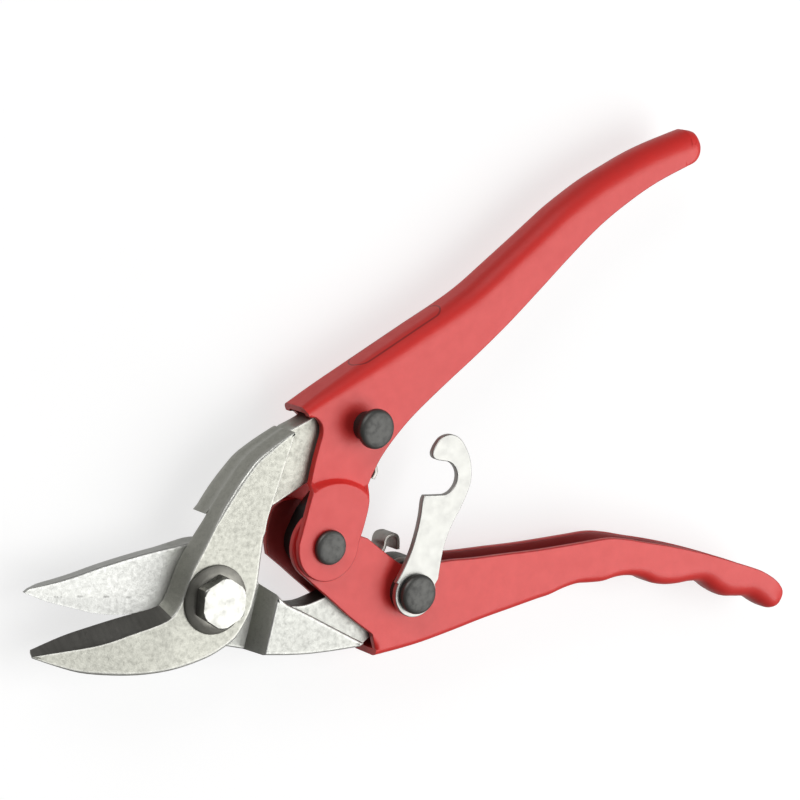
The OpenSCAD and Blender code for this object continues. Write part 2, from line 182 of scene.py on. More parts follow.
def fill(loops, step, extra=None):
    """Triangles inside loops[0] and outside the others, with a field of inner points.
    The loops' own points come first, in order."""
    outer = loops[0]
    lo, hi = outer.min(0), outer.max(0)
    gx = np.arange(lo[0], hi[0], step)
    gy = np.arange(lo[1], hi[1], step * 0.866)
    G = np.array([(x + (k % 2) * step / 2, y) for k, y in enumerate(gy) for x in gx])
    keep = inside(outer, G)
    keep &= dist(outer, G) > 0.6 * step
    for h in loops[1:]:
        keep &= ~inside(h, G)
        keep &= dist(h, G) > 0.5 * step
    G = G[keep]
    if extra is not None:
        X = extra[inside(outer, extra) & (dist(outer, extra) > 0.25)]
        for h in loops[1:]:
            X = X[~inside(h, X) & (dist(h, X) > 0.5)]
        far_ = np.sqrt(((G[:, None] - X[None]) ** 2).sum(2)).min(1) > 0.7
        G = np.r_[G[far_], X]
    pts, edges = [], []
    for L in loops:
        s = len(pts)
        pts += [Vector((float(p[0]), float(p[1]))) for p in L]
        edges += [(s + i, s + (i + 1) % len(L)) for i in range(len(L))]
    nb = len(pts)
    pts += [Vector((float(p[0]), float(p[1]))) for p in G]
    V, E, F, ov, oe, of_ = delaunay_2d_cdt(pts, edges, [], 0, 1e-7)
    V = np.array([(p[0], p[1]) for p in V])
    where = {}
    for i, src in enumerate(ov):
        for s in src:
            where[s] = i
    T = np.array([f for f in F if len(f) == 3])
    C = V[T].mean(1)
    ok = inside(outer, C)
    for h in loops[1:]:
        ok &= ~inside(h, C)
    T = T[ok]
    a, b, c = V[T[:, 0]], V[T[:, 1]], V[T[:, 2]]
    sg = (b[:, 0] - a[:, 0]) * (c[:, 1] - a[:, 1]) - (b[:, 1] - a[:, 1]) * (c[:, 0] - a[:, 0])
    T[sg < 0] = T[sg < 0][:, ::-1]
    return V, T, [where[i] for i in range(nb)]


def rings(e):
    """Rim profile of a rounded edge of radius e: (inset, drop, wear), from the flat face to the wall."""
    out = [(e + 0.55, 0.0, 0.0), (e, 0.0, 0.55)]
    for a in (30, 60):
        t = math.radians(a)
        out.append((e * (1 - math.sin(t)), e * (1 - math.cos(t)), 1.0))
    out.append((0.0, e, 0.55))
    return out


def plate(sh, top, bot, ztop, zbot, holes=(), et=0.4, eb=0.4, step=2.0, tag=None, mid=1, wallfun=None):
    """A solid between two matched outlines with rounded rims. et and eb may be one value or one per point."""
    top, bot = np.asarray(top, float), np.asarray(bot, float)
    keep = (np.linalg.norm(top - np.roll(top, 1, 0), axis=1) > 0.12) | \
           (np.linalg.norm(bot - np.roll(bot, 1, 0), axis=1) > 0.12)
    et = np.broadcast_to(et, (len(top),))[keep].copy()
    eb = np.broadcast_to(eb, (len(bot),))[keep].copy()
    top, bot = top[keep], bot[keep]
    if area(top) < 0:
        top, bot, et, eb = top[::-1], bot[::-1], et[::-1], eb[::-1]
    nt, nb = inward(top), inward(bot)
    zt = ztop if callable(ztop) else (lambda P, z=ztop: np.full(len(P), float(z)))
    zb = zbot if callable(zbot) else (lambda P, z=zbot: np.full(len(P), float(z)))
    H = [(np.array(c, float), float(r)) for c, r in holes]

    def hc(c, r):
        return arc(c, r, 0, 360, 48)[:-1]

    ends = []
    for P, n, e, z, sgn in ((top, nt, et, zt, -1), (bot, nb, eb, zb, 1)):
        # a hole's rim is a small rounded edge of 0.25
        loops = [P + n * (e[:, None] + 0.55)] + [hc(c, r + 0.7) for c, r in H]
        V, T, bi = fill(loops, step)
        idx = sh.add(np.c_[V, z(V)], 0.0)
        for t in T:
            f = tuple(idx[k] for k in (t if sgn < 0 else t[::-1]))
            sh.f.append(f)
        at = 0
        chain = []
        for q, L in enumerate(loops):
            cur = [idx[bi[at + i]] for i in range(len(L))]
            at += len(L)
            if q == 0:
                prof = [(0.0, 0.0, 0.55)] + [(s, math.cos(math.radians(a)), 1.0) for a, s in
                                             ((30, math.sin(math.radians(30))), (60, math.sin(math.radians(60))))] + [(1.0, 0.0, 0.55)]
                zi = z(P + n * e[:, None])
                for k, a in enumerate((0, 30, 60, 90)):
                    s, c = math.sin(math.radians(a)), math.cos(math.radians(a))
                    xy = P + n * (e * (1 - s))[:, None]
                    zz = zi + sgn * e * (1 - c)
                    new = sh.add(np.c_[xy, zz], 1.0 if a in (30, 60) else 0.55)
                    if sgn < 0:
                        sh.strip(cur, new)
                    else:
                        sh.strip(new, cur)
                    cur = new
                wall = (P, zi + sgn * e)
            else:
                c0, r0 = H[q - 1]
                for rr, dz in ((r0 + 0.25, 0.0), (r0 + 0.07, 0.07), (r0, 0.25)):
                    xy = hc(c0, rr)
                    new = sh.add(np.c_[xy, z(xy) + sgn * dz], 0.6)
                    if sgn < 0:
                        sh.strip(new, cur)
                    else:
                        sh.strip(cur, new)
                    cur = new
                wall = None
            chain.append((cur, wall))
        ends.append(chain)
    for q, ((a, wa), (b, wb)) in enumerate(zip(*ends)):
        if q == 0:
            prev = a
            for k in range(1, mid + 1):
                t = k / (mid + 1)
                xy = wa[0] * (1 - t) + wb[0] * t
                zz = wa[1] * (1 - t) + wb[1] * t
                if wallfun is not None:
                    xy = wallfun(xy, t)
                new = sh.add(np.c_[xy, zz], 0.0)
                sh.strip(prev, new)
                prev = new
            sh.strip(prev, b)
        else:
            sh.strip(b, a)
    return sh


def channel(sh, S, rest, rad, zo, t, holes=(), lift=None, e=0.35, step=2.5, extra=None, far=None, rad_far=None):
    """A sheet folded over its back line S: two plates and the rounded back. rad gives the fold's radius at each point of S."""
    S = np.asarray(S, float)
    rest = np.asarray(rest, float)
    # smooth normals of the open back line
    d = np.gradient(S, axis=0)
    d /= np.linalg.norm(d, axis=1)[:, None]
    nrm = np.c_[-d[:, 1], d[:, 0]]
    poly = np.r_[S, rest]
    if area(poly) < 0:
        nrm = -nrm                              # always into the plate
    Sp = S + nrm * rad[:, None]

    rad_far = rad if rad_far is None else rad_far

    def outline(rest, rad):
        loop = np.r_[S + nrm * rad[:, None], S[-1:], rest]
        ccw = area(loop) > 0
        wt = np.r_[np.zeros(len(Sp)), 1.0, np.ones(len(rest))]
        wt[len(Sp)] = 0.6
        wt[-1] = 0.6
        nin = inward(loop if ccw else loop[::-1])
        return loop, ccw, wt, nin if ccw else nin[::-1]

    loop, ccw, wt, nin = outline(rest, rad)
    H = [(np.array(c, float), float(r)) for c, r in holes]

    def hc(c, r):
        return arc(c, r, 0, 360, 48)[:-1]

    up = lift if lift is not None else (lambda P: np.zeros(len(P)))
    for side in (1, -1):
        if side < 0:
            loop, ccw, wt, nin = outline(rest if far is None else np.asarray(far, float), rad_far)
        faces = {}
        for layer in (0, 1):                    # 0 outer face, 1 inner face
            base = zo - layer * t
            loops = [loop + nin * ((e + 0.5) * wt)[:, None]] + [hc(c, r + 0.7) for c, r in H]
            if not ccw:
                loops[0] = loops[0][::-1]
            V, T, bi = fill(loops, step, extra)
            z = side * (base + up(V))
            idx = sh.add(np.c_[V, z], 0.0)
            flip = (side > 0) == (layer == 0)
            for tr in T:
                sh.f.append(tuple(idx[k] for k in (tr if flip else tr[::-1])))
            n0 = len(loops[0])
            cur = [idx[bi[i]] for i in range(n0)]
            if not ccw:
                cur = cur[::-1]
            outer = cur
            sgn = -1 if layer == 0 else 1
            chain = [outer]
            for a in (0, 30, 60, 90):
                s, c = math.sin(math.radians(a)), math.cos(math.radians(a))
                ins = e * (1 - s) * wt
                xy = loop + nin * ins[:, None]
                zz = side * (base + up(loop + nin * (e * wt)[:, None]) + sgn * e * (1 - c) * np.where(wt > 0, 1, 0))
                new = sh.add(np.c_[xy, zz], np.where(wt > 0, 1.0 if a in (30, 60) else 0.55, 0.0))
                chain.append(new)
            at = n0
            hcur = []
            for c0, r0 in H:
                k48 = [idx[bi[at + i]] for i in range(48)]
                at += 48
                for rr, dz in ((r0 + 0.25, 0.0), (r0 + 0.07, 0.07), (r0, 0.25)):
                    xy = hc(c0, rr)
                    new = sh.add(np.c_[xy, side * (base + up(xy) + sgn * dz)], 0.5)
                    sh.strip(k48, new)
                    k48 = new
                hcur.append(k48)
            faces[layer] = (chain, hcur)
        # join the rims, only along the open part of the loop
        ch0, ch1 = faces[0][0], faces[1][0]
        seq = ch0 + ch1[::-1]
        for A, B in zip(seq[:-1], seq[1:]):
            for i in range(len(Sp) - 1, len(loop)):
                k = (i + 1) % len(loop)
                sh.f.append((A[i], A[k], B[k], B[i]))
        for a, b in zip(faces[0][1], faces[1][1]):
            sh.strip(a, b)
    # folded back, outer and inner skins
    for off, zz, low in ((0.0, zo, 0.0), (t, zo - t, 0.4)):
        prof, back = [], []
        for a in np.linspace(0, 90, 9):
            s, c = math.sin(math.radians(a)), math.cos(math.radians(a))
            for q, rr in ((prof, rad), (back, rad_far)):
                rr = np.maximum(rr - off, low)
                q.append((off + rr * (1 - s), zz - rr * (1 - c)))
        full = prof + [(p[0], -p[1]) for p in back[::-1]]
        rows = [sh.add(np.c_[S + nrm * p[0][:, None], p[1]], 0.0) for p in full]
        for A, B in zip(rows[:-1], rows[1:]):
            sh.strip(A, B, closed=False)
        if off == 0.0:
            outer_rows = rows
        else:
            inner_rows = rows
    for end in (0, -1):
        A = [r[end] for r in outer_rows]
        B = [r[end] for r in inner_rows]
        sh.strip(A, B, closed=False)
    return sh


def lathe(sh, c, prof, n=64, wear_and_shade=None):
    """Turned solid about an upright axis: prof is [(radius, z)] from the bottom to the top, closed if it ends where it began."""
    rows = []
    for i, (r, z) in enumerate(prof):
        w = 0.0 if wear_and_shade is None else wear_and_shade[i]
        rows.append(sh.add(np.c_[arc(c, max(r, 1e-4), 0, 360, n)[:-1], np.full(n, z)], w))
    for A, B in zip(rows[:-1], rows[1:]):
        sh.strip(A, B)
    return sh


def rounded(pts, r=0.3, n=4):
    """Rounds the corners of an open profile."""
    P = [np.array(p, float) for p in pts]
    out = [P[0]]
    for a, b, c in zip(P[:-2], P[1:-1], P[2:]):
        u, v = a - b, c - b
        lu, lv = np.linalg.norm(u), np.linalg.norm(v)
        k = min(r, lu * 0.45, lv * 0.45)
        p, q = b + u / lu * k, b + v / lv * k
        for t in np.linspace(0, 1, n + 1):
            out.append((1 - t) ** 2 * p + 2 * t * (1 - t) * b + t * t * q)
    out.append(P[-1])
    return [tuple(p) for p in out]


# ------------------------------------------------------------------ materials

def new_mat(name):
    m = bpy.data.materials.new(name)
    m.use_nodes = True
    nt = m.node_tree
    nt.nodes.clear()
    out = nt.nodes.new("ShaderNodeOutputMaterial")
    bs = nt.nodes.new("ShaderNodeBsdfPrincipled")
    nt.links.new(bs.outputs[0], out.inputs[0])
    tc = nt.nodes.new("ShaderNodeTexCoord")
    return m, nt, bs, tc.outputs["Object"]


def noise(nt, vec, scale, detail=3.0, rough=0.55):
    n = nt.nodes.new("ShaderNodeTexNoise")
    n.inputs["Scale"].default_value = scale
    n.inputs["Detail"].default_value = detail
    n.inputs["Roughness"].default_value = rough
    nt.links.new(vec, n.inputs["Vector"])
    return n.outputs[0]


def mrange(nt, val, a, b, c, d):
    n = nt.nodes.new("ShaderNodeMapRange")
    n.inputs[1].default_value, n.inputs[2].default_value = a, b
    n.inputs[3].default_value, n.inputs[4].default_value = c, d
    nt.links.new(val, n.inputs[0])
    return n.outputs[0]


def math2(nt, op, a, b):
    n = nt.nodes.new("ShaderNodeMath")
    n.operation = op
    for k, x in enumerate((a, b)):
        if isinstance(x, (int, float)):
            n.inputs[k].default_value = x
        else:
            nt.links.new(x, n.inputs[k])
    return n.outputs[0]


def mixc(nt, fac, a, b, mode="MIX"):
    n = nt.nodes.new("ShaderNodeMix")
    n.data_type = "RGBA"
    n.blend_type = mode
    if isinstance(fac, (int, float)):
        n.inputs[0].default_value = fac
    else:
        nt.links.new(fac, n.inputs[0])
    for k, x in ((6, a), (7, b)):
        if isinstance(x, tuple):
            n.inputs[k].default_value = (*x, 1.0)
        else:
            nt.links.new(x, n.inputs[k])
    return n.outputs[2]


def bump(nt, bs, h, strength, dist, prev=None):
    n = nt.nodes.new("ShaderNodeBump")
    n.inputs["Strength"].default_value = strength
    n.inputs["Distance"].default_value = dist
    nt.links.new(h, n.inputs["Height"])
    if prev is not None:
        nt.links.new(prev, n.inputs["Normal"])
    nt.links.new(n.outputs[0], bs.inputs["Normal"])
    return n.outputs[0]


def attr(nt, name):
    n = nt.nodes.new("ShaderNodeAttribute")
    n.attribute_name = name
    return n.outputs["Fac"]


def stretched(nt, vec, scale):
    n = nt.nodes.new("ShaderNodeMapping")
    n.inputs["Scale"].default_value = scale
    nt.links.new(vec, n.inputs["Vector"])
    return n.outputs[0]


PILL = (0.0564, 0.0729, 0.852, 0.526, 0.0127, 0.0037)   # middle, direction, half length, radius


def pill_line_shade(nt, oc):
    """A plain long outline pressed into the upper handle's folded back, drawn only as a line of painted shade; the
    pressing is not modelled.
    """
    sx = nt.nodes.new("ShaderNodeSeparateXYZ")
    nt.links.new(oc, sx.inputs[0])
    px, py, dx, dy, half, r = PILL
    u = math2(nt, "ADD", math2(nt, "MULTIPLY", math2(nt, "ADD", sx.outputs[0], -px), dx),
              math2(nt, "MULTIPLY", math2(nt, "ADD", sx.outputs[1], -py), dy))
    u = math2(nt, "MAXIMUM", math2(nt, "SUBTRACT", math2(nt, "ABSOLUTE", u, 0.0), half), 0.0)
    w = math2(nt, "SUBTRACT", sx.outputs[2], 0.013)
    d = math2(nt, "POWER", math2(nt, "ADD", math2(nt, "MULTIPLY", u, u), math2(nt, "MULTIPLY", w, w)), 0.5)
    d = math2(nt, "ABSOLUTE", math2(nt, "SUBTRACT", d, r), 0.0)
    there = mrange(nt, sx.outputs[1], 0.045, 0.048, 0, 1)      # only on the upper handle
    return math2(nt, "MULTIPLY", mrange(nt, d, 0.00012, 0.00036, 1, 0), there)


def mat_paint(name):
    """Red powder coat: gloss with a fine orange peel, painted darker on the rounded edges as shade, with worn chips
    there.
    """
    m, nt, bs, oc = new_mat(name)
    big = noise(nt, oc, 22, 3)
    mid = noise(nt, oc, 260, 4)
    base = mixc(nt, mrange(nt, big, 0.3, 0.7, 0, 1), (0.80, 0.038, 0.033), (0.86, 0.044, 0.038))
    base = mixc(nt, mrange(nt, mid, 0.35, 0.65, 0, 0.35), base, (0.72, 0.032, 0.029))
    wear_and_shade = attr(nt, "edge_wear_and_shade")
    spots = mrange(nt, noise(nt, oc, 420, 5), 0.56, 0.70, 0, 1)
    # painted shade: the rounded edges are darkened toward a deep red; the chips on the next line are real wear
    base = mixc(nt, math2(nt, "MULTIPLY", mrange(nt, wear_and_shade, 0.3, 1.0, 0, 0.55), 1.0), base, (0.42, 0.020, 0.022))
    base = mixc(nt, math2(nt, "MULTIPLY", math2(nt, "MULTIPLY", wear_and_shade, spots), 0.35), base, (0.20, 0.05, 0.045))
    # painted shade: faces inside the handle channel are darkened to a deep maroon
    base = mixc(nt, math2(nt, "MULTIPLY", attr(nt, "ground_and_painted_light"), 0.68), base, (0.15, 0.034, 0.034))
    # painted shade: the dark line of the pressed outline on the folded back
    base = mixc(nt, math2(nt, "MULTIPLY", pill_line_shade(nt, oc), 0.62), base, (0.16, 0.020, 0.022))
    nt.links.new(base, bs.inputs["Base Color"])
    nt.links.new(mrange(nt, mid, 0.2, 0.8, 0.34, 0.46), bs.inputs["Roughness"])
    bs.inputs["IOR"].default_value = 1.5
    bs.inputs["Coat Weight"].default_value = 0.12
    bs.inputs["Coat Roughness"].default_value = 0.22
    b1 = bump(nt, bs, noise(nt, oc, 850, 2), 0.10, 0.0004)
    bump(nt, bs, noise(nt, oc, 160, 2), 0.06, 0.0010, b1)
    return m


def mat_blade(name, tint, ground_and_painted_light=None, dark=None):
    """Blasted forged steel: bright, with fine grey mottling, pits and rubbed edges."""
    m, nt, bs, oc = new_mat(name)
    a = noise(nt, oc, 60, 5, 0.6)
    b = noise(nt, oc, 700, 5, 0.65)
    c = noise(nt, oc, 2300, 3, 0.6)
    d = tuple(x * 0.80 for x in tint)
    base = mixc(nt, mrange(nt, a, 0.35, 0.65, 0, 1), tint, tuple(x * 0.92 for x in tint))
    base = mixc(nt, mrange(nt, b, 0.48, 0.68, 0, 0.5), base, d)
    base = mixc(nt, mrange(nt, c, 0.55, 0.72, 0, 0.45), base, tuple(x * 0.66 for x in tint))
    wear_and_shade = attr(nt, "edge_wear_and_shade")
    base = mixc(nt, mrange(nt, wear_and_shade, 0.2, 1.0, 0, 0.6), base, (0.83, 0.83, 0.80))
    if ground_and_painted_light is not None:
        base = ground_and_painted_light(nt, oc, base)
    # painted shade: faces picked out by the attribute below are darkened, with stretched grinding streaks
    if dark is not None:
        st = noise(nt, stretched(nt, oc, (900, 60, 60)), 1.0, 4)
        dk = mixc(nt, mrange(nt, st, 0.35, 0.65, 0, 1), dark, tuple(x * 0.86 for x in dark))
        base = mixc(nt, attr(nt, "ground_and_painted_light"), base, dk)
    nt.links.new(base, bs.inputs["Base Color"])
    bs.inputs["Metallic"].default_value = 0.82
    r = mrange(nt, b, 0.3, 0.7, 0.42, 0.60)
    r = math2(nt, "SUBTRACT", r, math2(nt, "MULTIPLY", wear_and_shade, 0.12))
    nt.links.new(r, bs.inputs["Roughness"])
    b1 = bump(nt, bs, b, 0.28, 0.00035)
    b2 = bump(nt, bs, c, 0.22, 0.00012, b1)
    bump(nt, bs, a, 0.10, 0.0012, b2)
    return m


def mat_metal(name, col, rough=(0.3, 0.45), dark=None, metallic=0.95, scale=500, bs_strength=0.12, edge=None, fine=1500, bend_shade=False):
    m, nt, bs, oc = new_mat(name)
    a = noise(nt, oc, 90, 4)
    b = noise(nt, oc, scale, 4)
    c = noise(nt, oc, fine, 2)
    dk = dark or tuple(x * 0.72 for x in col)
    base = mixc(nt, mrange(nt, a, 0.35, 0.7, 0, 0.7), col, tuple((x + y) / 2 for x, y in zip(col, dk)))
    base = mixc(nt, mrange(nt, b, 0.5, 0.72, 0, 0.75), base, dk)
    wear_and_shade = attr(nt, "edge_wear_and_shade")
    ed = edge or tuple(min(1.0, x * 1.15) for x in col)
    base = mixc(nt, mrange(nt, wear_and_shade, 0.25, 1.0, 0, 0.6), base, ed)
    if bend_shade:                                   # painted shade: darker round the bend, deep between the handle plates; the hooks keep the plain steel colour
        ds = nt.nodes.new("ShaderNodeVectorMath")
        ds.operation = "DISTANCE"
        ds.inputs[1].default_value = (HP[0] / 1000, HP[1] / 1000, ZC / 1000)
        nt.links.new(oc, ds.inputs[0])
        base = mixc(nt, mrange(nt, ds.outputs["Value"], 0.010, 0.017, 1.0, 0.0), base, (0.07, 0.066, 0.065))
    nt.links.new(base, bs.inputs["Base Color"])
    bs.inputs["Metallic"].default_value = metallic
    nt.links.new(mrange(nt, b, 0.3, 0.7, rough[0], rough[1]), bs.inputs["Roughness"])
    b1 = bump(nt, bs, b, bs_strength, 0.0003)
    bump(nt, bs, c, bs_strength * 0.8, 0.0001, b1)
    return m


RED = mat_paint("red_powder_coat")
def jaw_strip(nt, oc, base):
    """The ground strip along the far jaw's cutting edge, with a worn line above it and marks across it."""
    sx = nt.nodes.new("ShaderNodeSeparateXYZ")
    nt.links.new(oc, sx.inputs[0])
    d = math2(nt, "ADD", math2(nt, "MULTIPLY", sx.outputs[0], JAW_LINE[0]), math2(nt, "MULTIPLY", sx.outputs[1], -1.0))
    d = math2(nt, "ADD", d, JAW_LINE[1])                       # metres below the line
    d = math2(nt, "ADD", d, math2(nt, "MULTIPLY", math2(nt, "SUBTRACT", noise(nt, oc, 260, 3), 0.5), 0.0012))
    jaw = mrange(nt, sx.outputs[0], -0.0175, -0.0215, 0, 1)
    strip = math2(nt, "MULTIPLY", mrange(nt, d, 0.0, 0.0005, 0, 1), jaw)
    marks = mrange(nt, noise(nt, stretched(nt, oc, (1100, 90, 90)), 1.0, 3), 0.42, 0.66, 0, 1)
    # painted light: the jaw is painted lighter than the arm, standing in for the brighter light it catches
    base = mixc(nt, math2(nt, "MULTIPLY", mrange(nt, sx.outputs[0], -0.010, -0.014, 0, 1), 0.75), base, (0.66, 0.665, 0.64))
    base = mixc(nt, math2(nt, "MULTIPLY", strip, 0.55), base, (0.56, 0.565, 0.545))
    base = mixc(nt, math2(nt, "MULTIPLY", math2(nt, "MULTIPLY", strip, marks), 0.45), base, (0.40, 0.40, 0.385))
    line = math2(nt, "MULTIPLY", mrange(nt, math2(nt, "ABSOLUTE", d, 0.0), 0.00012, 0.0004, 1, 0), jaw)
    broken = mrange(nt, noise(nt, oc, 330, 3), 0.50, 0.60, 0, 0.75)
    return mixc(nt, math2(nt, "MULTIPLY", line, broken), base, (0.26, 0.26, 0.25))


JAW_LINE = (-0.0395, -0.0009)                                   # slope, and height on the pivot's line in m
STEEL = mat_blade("forged_blade_steel", (0.50, 0.50, 0.445), dark=(0.20, 0.195, 0.18))
STEEL_FAR = mat_blade("forged_blade_steel_far", (0.54, 0.545, 0.51), ground_and_painted_light=jaw_strip, dark=(0.18, 0.172, 0.155))
ZINC = mat_metal("bright_zinc", (0.47, 0.47, 0.44), (0.26, 0.42), scale=420)
CONE = mat_metal("tempered_washer", (0.22, 0.216, 0.192), (0.30, 0.44), dark=(0.17, 0.168, 0.15), scale=380)
OXIDE = mat_metal("black_oxide", (0.088, 0.088, 0.083), (0.38, 0.55), dark=(0.06, 0.06, 0.058), metallic=0.75, scale=600, bs_strength=0.2, edge=(0.20, 0.20, 0.19))
NICKEL = mat_metal("satin_nickel", (0.45, 0.45, 0.425), (0.40, 0.50), dark=(0.45, 0.45, 0.43), scale=300, bs_strength=0.05, edge=(0.56, 0.56, 0.54))
SPRING = mat_metal("spring_steel", (0.46, 0.44, 0.41), (0.34, 0.5), dark=(0.30, 0.29, 0.27), scale=360, bend_shade=True)


def finish_piece(ob, mat, body, nodes):
    ob.data.materials.clear()
    ob.data.materials.append(mat)
    if body is not None:
        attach(ob, body)
    if nodes:
        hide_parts(*nodes)
    return ob


# ------------------------------------------------------------------ outlines, mm in the tool's plane

LB_BACK = [[-48.5, -16.2], [-39, -19.1], [-29, -20.3], [-19.5, -20.4], [-10, -19.2],
           [-1, -16.7], [4.5, -14], [8, -11.5], [10.3, -8.2], [12.3, -4],
           [13.2, 0], [13.8, 4], [14.1, 10], [14.5, 17], [15, 22], [16.2, 26.5],
           [18.5, 35], [20.3, 41.5], [21.4, 45.4]]
LB_ARM = [[21.3, 46.4], [20, 45.7], [15, 42.4], [10, 38.5], [7, 34.8], [4, 30.5], [0, 24]]
LB_T = [[-1.5, 20.8], [-4.9, 13.6], [-7.6, 8.2], [-9.1, 3.8], [-10.2, 0.4],
        [-12.4, -3.8], [-15.8, -6.1], [-23.7, -9], [-33.2, -12.4], [-43, -14], [-54.4, -14.6]]
LB_B = [[-1.8, 20.8], [-6.2, 13.8], [-9, 8.2], [-10.4, 4], [-11.5, 0.8],
        [-13, -2], [-16, -3.5], [-24.5, -5.2], [-34.5, -7.6], [-43, -9.9], [-52, -13.2]]
LB_TNG = [[16, 24], [18.7, 25.3], [23.6, 28.2], [28, 30.8], [34, 34.2], [39, 37.6]]
LB_TNG2 = [[38.5, 55], [33, 52.8], [27.4, 49.2], [22.4, 46.8]]

UB_B = [[-54.9, 2.4], [-49.7, 0.4], [-45.7, -0.9], [-39, -2.6], [-33, -4.1],
        [-25.2, -4.8], [-16, -4.4], [-12.4, -5.2]]
UB_T = [[-55.6, 3.6], [-49, 3], [-45, 2.3], [-38.5, 1.2], [-32.5, 0],
        [-25, -1], [-16, -1.6], [-11.6, -4.6]]
UB_LOW = [[-8.8, -9.2], [-3.5, -12.6], [3, -14.6], [9.4, -15.3], [14.4, -16.2],
          [18, -16.7], [24, -17], [32.5, -17.3], [41, -17.1], [46.5, -16.8], [51.5, -16.5]]
UB_TOP = [[53.2, -15.6], [46, -12.3], [38, -8.6], [30, -4.9], [24, -2.3], [20.8, 0.2], [18.6, 2.3]]
UB_BACK = [[15.5, 7], [11, 11.5], [5, 14.4], [-2, 14.9], [-10, 13.6], [-19.4, 11.8],
           [-31, 9], [-40, 6.4], [-46.1, 4.9], [-53.6, 3.4]]
UB_TNG = [[54.2, 5.5], [46, 1.6], [38, -1.7], [32, -3.6], [26, -3.6]]
UB_TNG2 = [[52.6, -16.2], [56.5, -13], [60.6, -9]]

UH_SPINE = [[24.6, 52.9], [32, 57.8], [40, 62.8], [50, 69], [61.5, 76.1], [73, 83.2],
            [80, 88.2], [87.3, 94.4], [96.6, 102.4], [102.4, 107.5], [108.4, 112.6],
            [118.1, 119.6], [126.2, 124.4], [133.8, 128.5], [140.6, 131.6], [148.3, 134.6], [153.8, 136.5]]
UH_TAIL = [[153.8, 136.5], [157.4, 135.9], [159.6, 133], [159.2, 129.8], [156.6, 127.3], [152.3, 125.8]]
UH_EDGE = [[152.3, 125.8], [141.6, 120.6], [131.8, 114.5], [121.8, 107], [111.9, 97.7],
           [101.9, 87.6], [91.9, 77.7], [81.7, 68.5], [71.2, 59.6], [62, 51.4], [56.6, 45.6],
           [52.2, 39.8], [49.6, 35], [48.2, 31.6]]
UH_FRONT = [[28, 29], [28.5, 32.5], [29.3, 38], [30.2, 42.4], [30.9, 46], [30.2, 48.6], [28, 50.4]]

LH_SPINE = [[56.4, -19.2], [65, -17.7], [73.4, -15.9], [84, -13], [94.3, -10], [104, -7.5],
            [113.2, -5.1], [118.2, -3.9], [123.2, -2.1], [128.3, -0.9], [133.3, -0.8],
            [138.3, -0.6], [143.4, 0.5], [148.4, 0.8], [153.4, 0], [158.4, -1.9],
            [163.5, -2.7], [168.5, -2.7], [173.5, -2.2], [178.6, -2.5], [183.6, -5.3],
            [188.6, -7.4], [193.6, -7.8], [198.7, -8.2], [203.7, -10.4]]
LH_TAIL = [[203.7, -10.4], [207.8, -11.9], [211.5, -11.3], [213.2, -8.6], [212.5, -6], [209.2, -3.5]]
LH_EDGE = [[209.2, -3.5], [206, -1.4], [201, 0.9], [196, 2.4], [191, 3.7], [181, 6.2],
           [171, 8.4], [161, 10.2], [152, 11.5], [145, 12.6], [138, 13.1], [130, 12.3],
           [120, 11.2], [110, 10.2], [100, 9.5], [88, 8.6], [80, 8.3], [73, 7.6],
           [68, 6.8], [63, 7.4], [59, 9.4], [53, 13.3], [49, 16]]
LH_FRONT = [[29, 5.4], [33.4, 2.1], [38, -1.2], [46.3, -7.4], [54.2, -12.5]]
LH_NOSE = [[23.3, 9.4], [22.3, 13.5], [22.4, 18], [23.2, 21.8], [25, 23.9], [27.6, 25], [31, 25.5]]

HALF_W = -zmm("lower_handle", 0)                  # half the channel's width
SHEET_T = 2.0
LUG_OUT = zmm("upper_handle", 1)
BLADE_T = zmm("lower_blade", 1)

# ------------------------------------------------------------------ handles

def along(S, table):
    """Values along a line by its share of length."""
    L = np.r_[0, np.cumsum(np.linalg.norm(np.diff(S, axis=0), axis=1))]
    L /= L[-1]
    k, v = zip(*table)
    return np.interp(L, k, v)


def round_tail(sh, tip, axis, reach, least):
    """Narrows the channel smoothly over its last stretch, so the tail is rounded both ways."""
    axis = np.array(axis, float)
    axis /= np.linalg.norm(axis)
    for i, (x, y, z) in enumerate(sh.v):
        u = (np.array(tip) - np.array([x, y])) @ axis
        if u < reach:
            s = min(1.0, max(0.0, (reach - u) / reach))
            sh.v[i] = (x, y, z * (1 - (1 - least) * (1 - math.sqrt(max(0.0, 1 - s * s)))))


def clean(P, d=0.25):
    out = [P[0]]
    for p in P[1:]:
        if np.linalg.norm(p - out[-1]) > d:
            out.append(p)
    return np.array(out)


def channel_inside_shade(x, y, z, n):
    """Faces inside the channel, painted dark as the shade between the plates."""
    return abs(z) < HALF_W - SHEET_T + 0.05 and n.z * z < -0.7


up_line = clean(np.r_[cr(UH_SPINE, 5)[:-1], cr(UH_TAIL, 6)])
lug = [np.array([48.2, 31.6])]
up_rest = np.r_[cr(UH_EDGE, 4)[1:-1], [[48.0, 31.0], [47.6, 28.6]],
                cr([[47.4, 26.8], [47.2, 24], [46.2, 19], [45.2, 15.5]], 3),
                arc(HP, 10, 4, -184, 40)[1:-1],
                cr([[24.9, 15.0], [25.8, 19], [26.9, 24.5], [27.5, 27.4]], 3),
                cr(UH_FRONT, 4)[1:]]
up_rest = clean(up_rest, 0.3)
up_rad = along(up_line, [(0, 3.0), (0.25, 3.4), (0.5, 4.6), (0.72, 5.8), (0.86, 5.9), (0.915, 4.4), (0.95, 3.4), (0.975, 1.8), (1, 0.5)])

up_near = np.maximum(up_rad, along(up_line, [(0, 3.0), (0.06, 3.8), (0.16, 4.9), (0.5, 5.5), (0.72, 6.1), (0.87, 6.1), (0.915, 4.7), (0.95, 3.4), (0.975, 1.8), (1, 0.5)]))


